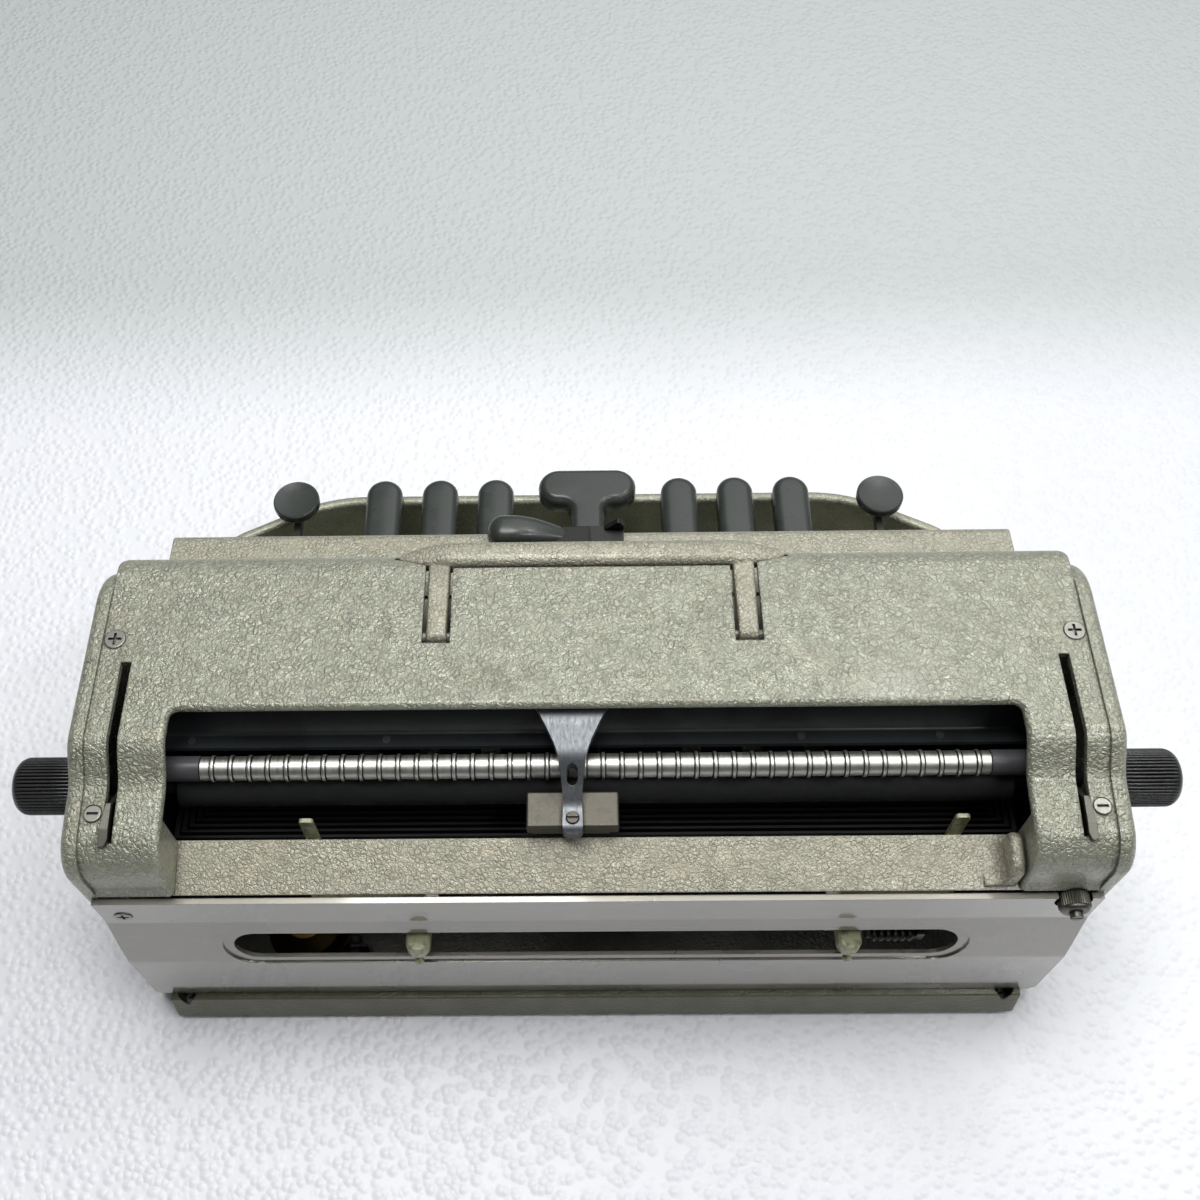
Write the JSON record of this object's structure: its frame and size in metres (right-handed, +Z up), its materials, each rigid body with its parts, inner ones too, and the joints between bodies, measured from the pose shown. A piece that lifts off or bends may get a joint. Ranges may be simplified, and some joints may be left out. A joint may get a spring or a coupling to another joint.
{
  "type": "manual braille writer",
  "caption": "Mechanical braille typewriter with side-cast case, chorded keys, sliding embossing head, feed knobs, margin stops and folding carry handle.",
  "frame": {"origin": "middle of the machine's bounding box in plan, on the surface that the feet stand on", "axes": "+X to the user's right along the roller, -Y towards the user and the keys, +Z up"},
  "size_m": [0.4036, 0.2292, 0.1474],
  "materials": {
    "hammertone_enamel": "hammered enamel",
    "panel_enamel": "smooth satin enamel",
    "base_enamel": "hammered enamel",
    "key_plastic": "moulded, semi-gloss",
    "knob_plastic": "moulded, ribbed",
    "bright_steel": "ground and worn",
    "plated_steel": "dull nickel plate",
    "lever_steel": "zinc plated",
    "dark_metal": "black lacquer",
    "drum_rubber": "ground rubber",
    "foot_rubber": "moulded rubber",
    "cream_enamel": "cream enamel",
    "sleeve_grey": "turned grey sleeve",
    "spring_steel": "blued wire",
    "bell_brass": "turned brass"
  },
  "bodies": {
    "machine": {"base_tray": "base_enamel", "rubber_feet": "foot_rubber", "right_side_plate": "hammertone_enamel", "left_side_plate": "hammertone_enamel", "right_frame": "dark_metal", "left_frame": "dark_metal", "top_cover": "hammertone_enamel", "case_screws": "plated_steel", "thumb_nut": "plated_steel", "reading_rest": "hammertone_enamel", "rear_panel": "panel_enamel", "front_panel": "hammertone_enamel", "carriage_rails": "bright_steel", "escapement_rack": "lever_steel", "key_shaft": "lever_steel", "key_springs": "spring_steel", "bail_shaft": "lever_steel", "paper_guide": "dark_metal", "roller_sleeves": "sleeve_grey", "margin_rail": "lever_steel", "bell": "bell_brass"},
    "dot_1_key": {"dot_1_cap": "key_plastic", "dot_1_lever": "lever_steel"},
    "dot_2_key": {"dot_2_cap": "key_plastic", "dot_2_lever": "lever_steel"},
    "dot_3_key": {"dot_3_cap": "key_plastic", "dot_3_lever": "lever_steel"},
    "dot_4_key": {"dot_4_cap": "key_plastic", "dot_4_lever": "lever_steel"},
    "dot_5_key": {"dot_5_cap": "key_plastic", "dot_5_lever": "lever_steel"},
    "dot_6_key": {"dot_6_cap": "key_plastic", "dot_6_lever": "lever_steel"},
    "space_key": {"space_cap": "key_plastic", "space_lever": "lever_steel"},
    "backspace": {"backspace_key": "key_plastic"},
    "line_space": {"line_space_key": "key_plastic"},
    "dot_1_bail_frame": {"dot_1_bail": "lever_steel"},
    "dot_2_bail_frame": {"dot_2_bail": "lever_steel"},
    "dot_3_bail_frame": {"dot_3_bail": "lever_steel"},
    "dot_4_bail_frame": {"dot_4_bail": "lever_steel"},
    "dot_5_bail_frame": {"dot_5_bail": "lever_steel"},
    "dot_6_bail_frame": {"dot_6_bail": "lever_steel"},
    "carriage": {"carriage_frame": "dark_metal", "embossing_yoke": "bright_steel", "die_block": "plated_steel", "pin_head": "bell_brass"},
    "carriage_release": {"carriage_lever": "hammertone_enamel", "carriage_grip": "key_plastic"},
    "mainspring": {"spring_barrel": "lever_steel"},
    "paper_feed": {"feed_drum": "drum_rubber", "feed_knobs": "knob_plastic"},
    "pressure_roller": {"grooved_roller": "bright_steel"},
    "right_release": {"right_release_lever": "plated_steel"},
    "left_release": {"left_release_lever": "plated_steel"},
    "handle": {"carrying_handle": "hammertone_enamel"},
    "right_margin": {"right_margin_stop": "cream_enamel"},
    "left_margin": {"left_margin_stop": "cream_enamel", "margin_spring": "spring_steel"},
    "hammer": {"bell_hammer": "lever_steel"}
  },
  "joints": [
    {"name": "dot_1_key", "type": "hinge", "parent": "machine", "child": "dot_1_key", "pos_m": [-0.041, 0.01705, 0.038], "axis": [1, 0, 0], "range_deg": [0, 3.2], "stiffness_Nm_per_rad": 1, "springref_deg": -8.59},
    {"name": "dot_2_key", "type": "hinge", "parent": "machine", "child": "dot_2_key", "pos_m": [-0.066, 0.01705, 0.038], "axis": [1, 0, 0], "range_deg": [0, 3.2], "stiffness_Nm_per_rad": 1, "springref_deg": -8.59},
    {"name": "dot_3_key", "type": "hinge", "parent": "machine", "child": "dot_3_key", "pos_m": [-0.091, 0.01705, 0.038], "axis": [1, 0, 0], "range_deg": [0, 3.2], "stiffness_Nm_per_rad": 1, "springref_deg": -8.59},
    {"name": "dot_4_key", "type": "hinge", "parent": "machine", "child": "dot_4_key", "pos_m": [0.041, 0.01705, 0.038], "axis": [1, 0, 0], "range_deg": [0, 3.2], "stiffness_Nm_per_rad": 1, "springref_deg": -8.59},
    {"name": "dot_5_key", "type": "hinge", "parent": "machine", "child": "dot_5_key", "pos_m": [0.066, 0.01705, 0.038], "axis": [1, 0, 0], "range_deg": [0, 3.2], "stiffness_Nm_per_rad": 1, "springref_deg": -8.59},
    {"name": "dot_6_key", "type": "hinge", "parent": "machine", "child": "dot_6_key", "pos_m": [0.091, 0.01705, 0.038], "axis": [1, 0, 0], "range_deg": [0, 3.2], "stiffness_Nm_per_rad": 1, "springref_deg": -8.59},
    {"name": "space_key", "type": "hinge", "parent": "machine", "child": "space_key", "pos_m": [0, 0.01705, 0.038], "axis": [1, 0, 0], "range_deg": [0, 3.2], "stiffness_Nm_per_rad": 1, "springref_deg": -8.59},
    {"name": "backspace", "type": "hinge", "parent": "machine", "child": "backspace", "pos_m": [0.13, 0.01705, 0.038], "axis": [1, 0, 0], "range_deg": [0, 3.2], "stiffness_Nm_per_rad": 1, "springref_deg": -8.59},
    {"name": "line_space", "type": "hinge", "parent": "machine", "child": "line_space", "pos_m": [-0.13, 0.01705, 0.038], "axis": [1, 0, 0], "range_deg": [0, 3.2], "stiffness_Nm_per_rad": 1, "springref_deg": -8.59},
    {"name": "dot_1_bail", "type": "hinge", "parent": "machine", "child": "dot_1_bail_frame", "pos_m": [0, 0.02805, 0.084], "axis": [1, 0, 0], "range_deg": [0, 4.23]},
    {"name": "dot_2_bail", "type": "hinge", "parent": "machine", "child": "dot_2_bail_frame", "pos_m": [0, 0.02805, 0.084], "axis": [1, 0, 0], "range_deg": [0, 4.17]},
    {"name": "dot_3_bail", "type": "hinge", "parent": "machine", "child": "dot_3_bail_frame", "pos_m": [0, 0.02805, 0.084], "axis": [1, 0, 0], "range_deg": [0, 4.12]},
    {"name": "dot_4_bail", "type": "hinge", "parent": "machine", "child": "dot_4_bail_frame", "pos_m": [0, 0.02805, 0.084], "axis": [1, 0, 0], "range_deg": [0, 4.08]},
    {"name": "dot_5_bail", "type": "hinge", "parent": "machine", "child": "dot_5_bail_frame", "pos_m": [0, 0.02805, 0.084], "axis": [1, 0, 0], "range_deg": [0, 4.04]},
    {"name": "dot_6_bail", "type": "hinge", "parent": "machine", "child": "dot_6_bail_frame", "pos_m": [0, 0.02805, 0.084], "axis": [1, 0, 0], "range_deg": [0, 4]},
    {"name": "carriage_travel", "type": "slide", "parent": "machine", "child": "carriage", "axis": [1, 0, 0], "range_m": [-0.1376, 0.1228]},
    {"name": "carriage_release", "type": "hinge", "parent": "carriage", "child": "carriage_release", "pos_m": [0.0074, 0.00505, 0.1282], "axis": [1, 0, 0], "range_deg": [0, 3], "stiffness_Nm_per_rad": 0.4, "springref_deg": -6.88},
    {"name": "mainspring_turn", "type": "hinge", "parent": "machine", "child": "mainspring", "pos_m": [-0.145, 0.01605, 0.062], "axis": [1, 0, 0], "range_deg": [-680.6, 607.5]},
    {"name": "paper_feed", "type": "hinge", "parent": "machine", "child": "paper_feed", "pos_m": [0, 0.06305, 0.112], "axis": [1, 0, 0], "continuous": true},
    {"name": "roller_turn", "type": "hinge", "parent": "machine", "child": "pressure_roller", "pos_m": [0, 0.06255, 0.12435], "axis": [1, 0, 0], "continuous": true},
    {"name": "right_release", "type": "hinge", "parent": "machine", "child": "right_release", "pos_m": [0.1596, 0.05485, 0.118], "axis": [1, 0, 0], "range_deg": [0, 85]},
    {"name": "left_release", "type": "hinge", "parent": "machine", "child": "left_release", "pos_m": [-0.1596, 0.05485, 0.118], "axis": [1, 0, 0], "range_deg": [0, 85]},
    {"name": "handle_lift", "type": "hinge", "parent": "machine", "child": "handle", "pos_m": [0, 0.02145, 0.142], "axis": [-1, 0, 0], "range_deg": [0, 95]},
    {"name": "right_margin", "type": "slide", "parent": "machine", "child": "right_margin", "axis": [1, 0, 0], "range_m": [-0.055, 0.04]},
    {"name": "left_margin", "type": "slide", "parent": "machine", "child": "left_margin", "axis": [1, 0, 0], "range_m": [-0.0106, 0.0704]},
    {"name": "bell_hammer", "type": "hinge", "parent": "machine", "child": "hammer", "pos_m": [0.0895, 0.09525, 0.02], "axis": [0, 0, 1], "range_deg": [0, 16], "stiffness_Nm_per_rad": 0.004, "springref_deg": -5.73}
  ],
  "couplings": [
    {"joint": "dot_1_bail", "follows": "dot_1_key", "ratio": 1.3056},
    {"joint": "dot_2_bail", "follows": "dot_2_key", "ratio": 1.288},
    {"joint": "dot_3_bail", "follows": "dot_3_key", "ratio": 1.2723},
    {"joint": "dot_4_bail", "follows": "dot_4_key", "ratio": 1.2582},
    {"joint": "dot_5_bail", "follows": "dot_5_key", "ratio": 1.2455},
    {"joint": "dot_6_bail", "follows": "dot_6_key", "ratio": 1.234},
    {"joint": "mainspring_turn", "follows": "carriage_travel", "rad_per_m": 86.207},
    {"joint": "roller_turn", "follows": "paper_feed", "ratio": -1.6304}
  ]
}
